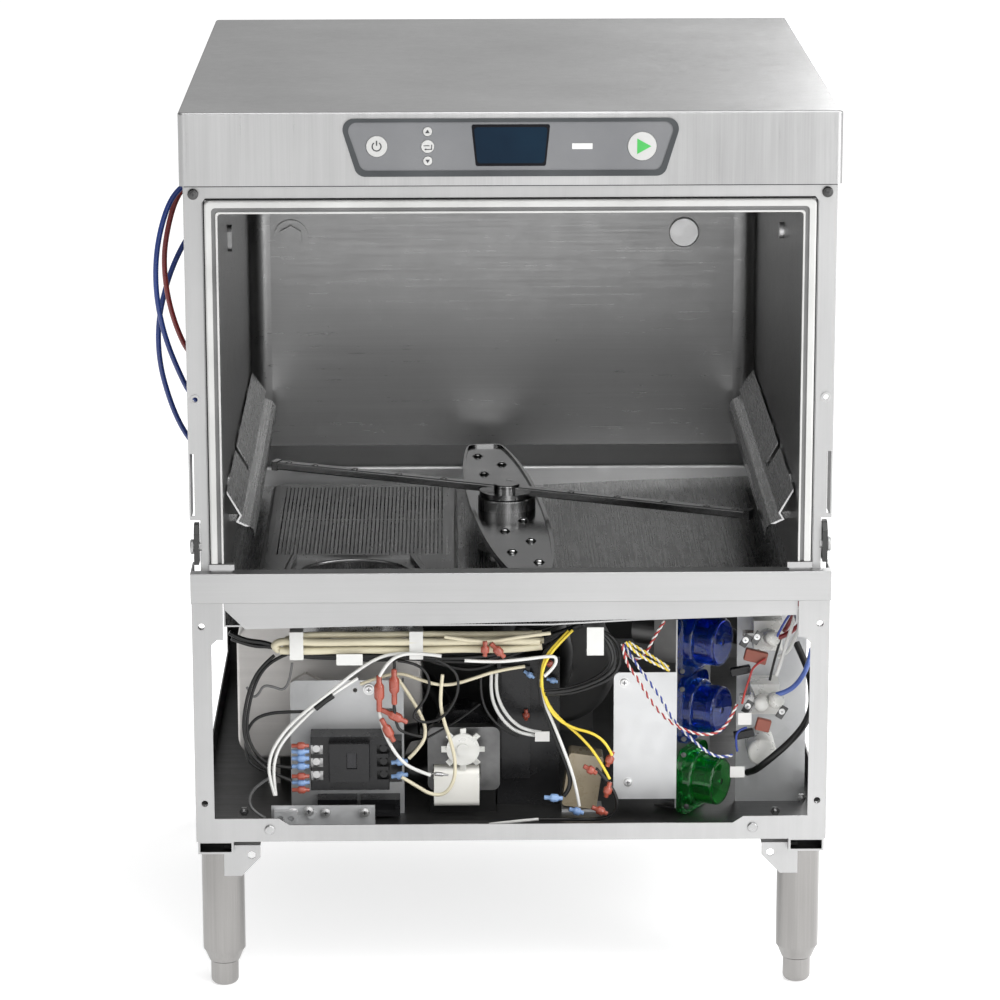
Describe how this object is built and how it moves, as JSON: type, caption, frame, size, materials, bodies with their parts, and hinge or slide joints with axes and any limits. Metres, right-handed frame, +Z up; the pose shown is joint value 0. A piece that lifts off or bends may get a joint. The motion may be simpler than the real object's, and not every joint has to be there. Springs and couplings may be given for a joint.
{
  "type": "undercounter dishwasher",
  "caption": "Undercounter commercial dishwasher with open front, spray arms, strainers, keypad hood, exposed pump and wiring bay, and tubular legs with screw feet.",
  "frame": {"origin": "on the floor, under the centre of the machine's bounding box", "axes": "+Z up, -Y towards the door opening and control panel, +X to the right seen from the front"},
  "size_m": [0.6412, 0.65, 0.862],
  "materials": {
    "hood_steel": "brushed stainless, fine grain",
    "bezel": "dark satin border",
    "overlay": "satin grey film",
    "display": "dark blue glossy window",
    "board": "circuit board",
    "light_button": "light satin",
    "start_button": "light satin with a green triangle",
    "frame_steel": "satin folded sheet",
    "sill_steel": "brushed",
    "hinge_steel": "dark coated steel",
    "chamber_steel": "drawn stainless, satin",
    "rail_steel": "polished",
    "plug_steel": "satin",
    "silicone": "light grey silicone",
    "strainer_steel": "fine slotted stainless",
    "manifold_steel": "turned",
    "arm_steel": "polished",
    "leg_steel": "vertical brushed tube",
    "tank_steel": "mill finish stainless",
    "pump_black": "black paint",
    "impeller": "moulded",
    "motor_core": "steel laminations and white coil",
    "fan_plastic": "translucent white",
    "galvanised": "galvanised",
    "black_plastic": "black moulding",
    "armature": "dark grey",
    "relay_black": "black and beige mouldings",
    "pump_sheet": "galvanised",
    "clear_blue": "clear tinted plastic",
    "rotor": "dark moulding",
    "valve_plastic": "translucent white",
    "hose_rubber": "black rubber",
    "leads": "insulated leads of several colours",
    "zinc": "zinc plated",
    "blue_tube": "blue flexible tube",
    "red_tube": "red flexible tube"
  },
  "bodies": {
    "cabinet": {"hood": "hood_steel", "control_bezel": "bezel", "control_overlay": "overlay", "display_window": "display", "control_board": "board", "front_post_left": "frame_steel", "front_post_right": "frame_steel", "top_rails": "frame_steel", "sill_bar": "sill_steel", "base_pan": "frame_steel", "back_panel": "frame_steel", "chamber_shell": "chamber_steel", "tub_floor": "chamber_steel", "door_gasket": "silicone", "rack_rail_left": "rail_steel", "rack_rail_right": "rail_steel", "chamber_plugs": "plug_steel", "lower_manifold": "manifold_steel", "upper_manifold": "manifold_steel", "leg_mounts": "frame_steel", "leg_tubes": "leg_steel", "booster_tank": "tank_steel", "wash_pump": "pump_black", "drain_motor": "motor_core", "contactor_plate": "galvanised", "contactor_body": "black_plastic", "relay_block": "relay_black", "pump_bracket": "pump_sheet", "pump_housings": "clear_blue", "solenoid_valves": "valve_plastic", "hoses": "hose_rubber", "harness_leads": "leads", "sump_well": "chamber_steel", "fasteners": "zinc", "blue_tube_front": "blue_tube", "red_tube": "red_tube", "blue_tube_rear": "blue_tube"},
    "power_button": {"power_button": "light_button"},
    "up_button": {"up_button": "light_button"},
    "enter_button": {"enter_button": "light_button"},
    "down_button": {"down_button": "light_button"},
    "start_button": {"start_button": "start_button"},
    "door_hinge_left": {"door_hinge_left": "hinge_steel"},
    "door_hinge_right": {"door_hinge_right": "hinge_steel"},
    "lower_wash_arm": {"lower_wash_arm": "arm_steel"},
    "lower_rinse_arm": {"lower_rinse_arm": "arm_steel"},
    "upper_wash_arm": {"upper_wash_arm": "arm_steel"},
    "upper_rinse_arm": {"upper_rinse_arm": "arm_steel"},
    "strainer_pan": {"strainer_pan": "strainer_steel"},
    "strainer_basket": {"strainer_basket": "strainer_steel"},
    "wash_pump_impeller": {"wash_pump_impeller": "impeller"},
    "drain_motor_fan": {"drain_motor_fan": "fan_plastic"},
    "contactor_armature": {"contactor_armature": "armature"},
    "detergent_rotor": {"detergent_rotor": "rotor"},
    "rinse_aid_rotor": {"rinse_aid_rotor": "rotor"},
    "delimer_rotor": {"delimer_rotor": "rotor"},
    "foot_front_left": {"foot_front_left": "leg_steel"},
    "foot_front_right": {"foot_front_right": "leg_steel"},
    "foot_rear_left": {"foot_rear_left": "leg_steel"},
    "foot_rear_right": {"foot_rear_right": "leg_steel"}
  },
  "joints": [
    {"name": "power_button_press", "type": "slide", "parent": "cabinet", "child": "power_button", "axis": [0, 1, 0], "range_m": [0, 0.0008], "stiffness_N_per_m": 800},
    {"name": "up_button_press", "type": "slide", "parent": "cabinet", "child": "up_button", "axis": [0, 1, 0], "range_m": [0, 0.0008], "stiffness_N_per_m": 800},
    {"name": "enter_button_press", "type": "slide", "parent": "cabinet", "child": "enter_button", "axis": [0, 1, 0], "range_m": [0, 0.0008], "stiffness_N_per_m": 800},
    {"name": "down_button_press", "type": "slide", "parent": "cabinet", "child": "down_button", "axis": [0, 1, 0], "range_m": [0, 0.0008], "stiffness_N_per_m": 800},
    {"name": "start_button_press", "type": "slide", "parent": "cabinet", "child": "start_button", "axis": [0, 1, 0], "range_m": [0, 0.0008], "stiffness_N_per_m": 800},
    {"name": "door_hinge_left_swing", "type": "hinge", "parent": "cabinet", "child": "door_hinge_left", "pos_m": [-0.2953, -0.303, 0.448], "axis": [1, 0, 0], "range_deg": [0, 90]},
    {"name": "door_hinge_right_swing", "type": "hinge", "parent": "cabinet", "child": "door_hinge_right", "pos_m": [0.2953, -0.303, 0.448], "axis": [1, 0, 0], "range_deg": [0, 90]},
    {"name": "lower_wash_arm_spin", "type": "hinge", "parent": "cabinet", "child": "lower_wash_arm", "pos_m": [0, -0.03, 0.418], "axis": [0, 0, 1], "continuous": true},
    {"name": "lower_rinse_arm_spin", "type": "hinge", "parent": "cabinet", "child": "lower_rinse_arm", "pos_m": [0, -0.03, 0.4343], "axis": [0, 0, 1], "continuous": true},
    {"name": "upper_wash_arm_spin", "type": "hinge", "parent": "cabinet", "child": "upper_wash_arm", "pos_m": [0, -0.03, 0.747], "axis": [0, 0, 1], "continuous": true},
    {"name": "upper_rinse_arm_spin", "type": "hinge", "parent": "cabinet", "child": "upper_rinse_arm", "pos_m": [0, -0.03, 0.7307], "axis": [0, 0, 1], "continuous": true},
    {"name": "strainer_pan_lift", "type": "slide", "parent": "cabinet", "child": "strainer_pan", "axis": [0, 0, 1], "range_m": [0, 0.018]},
    {"name": "strainer_basket_lift", "type": "slide", "parent": "strainer_pan", "child": "strainer_basket", "axis": [0, 0, 1], "range_m": [0, 0.06]},
    {"name": "wash_pump_spin", "type": "hinge", "parent": "cabinet", "child": "wash_pump_impeller", "pos_m": [0.05, 0.05, 0.25], "axis": [0, 1, 0], "continuous": true},
    {"name": "drain_motor_spin", "type": "hinge", "parent": "cabinet", "child": "drain_motor_fan", "pos_m": [-0.0457, -0.23, 0.229], "axis": [0, 1, 0], "continuous": true},
    {"name": "contactor_press", "type": "slide", "parent": "cabinet", "child": "contactor_armature", "axis": [0, 1, 0], "range_m": [0, 0.002], "stiffness_N_per_m": 800},
    {"name": "detergent_rotor_spin", "type": "hinge", "parent": "cabinet", "child": "detergent_rotor", "pos_m": [0.17525, -0.22032, 0.3325], "axis": [0.866, -0.5, 0], "continuous": true},
    {"name": "rinse_aid_rotor_spin", "type": "hinge", "parent": "cabinet", "child": "rinse_aid_rotor", "pos_m": [0.17525, -0.22032, 0.264], "axis": [0.866, -0.5, 0], "continuous": true},
    {"name": "delimer_rotor_spin", "type": "hinge", "parent": "cabinet", "child": "delimer_rotor", "pos_m": [0.17525, -0.22032, 0.192], "axis": [0.866, -0.5, 0], "continuous": true},
    {"name": "foot_front_left_screw", "type": "slide", "parent": "cabinet", "child": "foot_front_left", "axis": [0, 0, -1], "range_m": [0, 0.025]},
    {"name": "foot_front_right_screw", "type": "slide", "parent": "cabinet", "child": "foot_front_right", "axis": [0, 0, -1], "range_m": [0, 0.025]},
    {"name": "foot_rear_left_screw", "type": "slide", "parent": "cabinet", "child": "foot_rear_left", "axis": [0, 0, -1], "range_m": [0, 0.025]},
    {"name": "foot_rear_right_screw", "type": "slide", "parent": "cabinet", "child": "foot_rear_right", "axis": [0, 0, -1], "range_m": [0, 0.025]}
  ],
  "couplings": [
    {"joint": "door_hinge_right_swing", "follows": "door_hinge_left_swing", "ratio": 1}
  ]
}
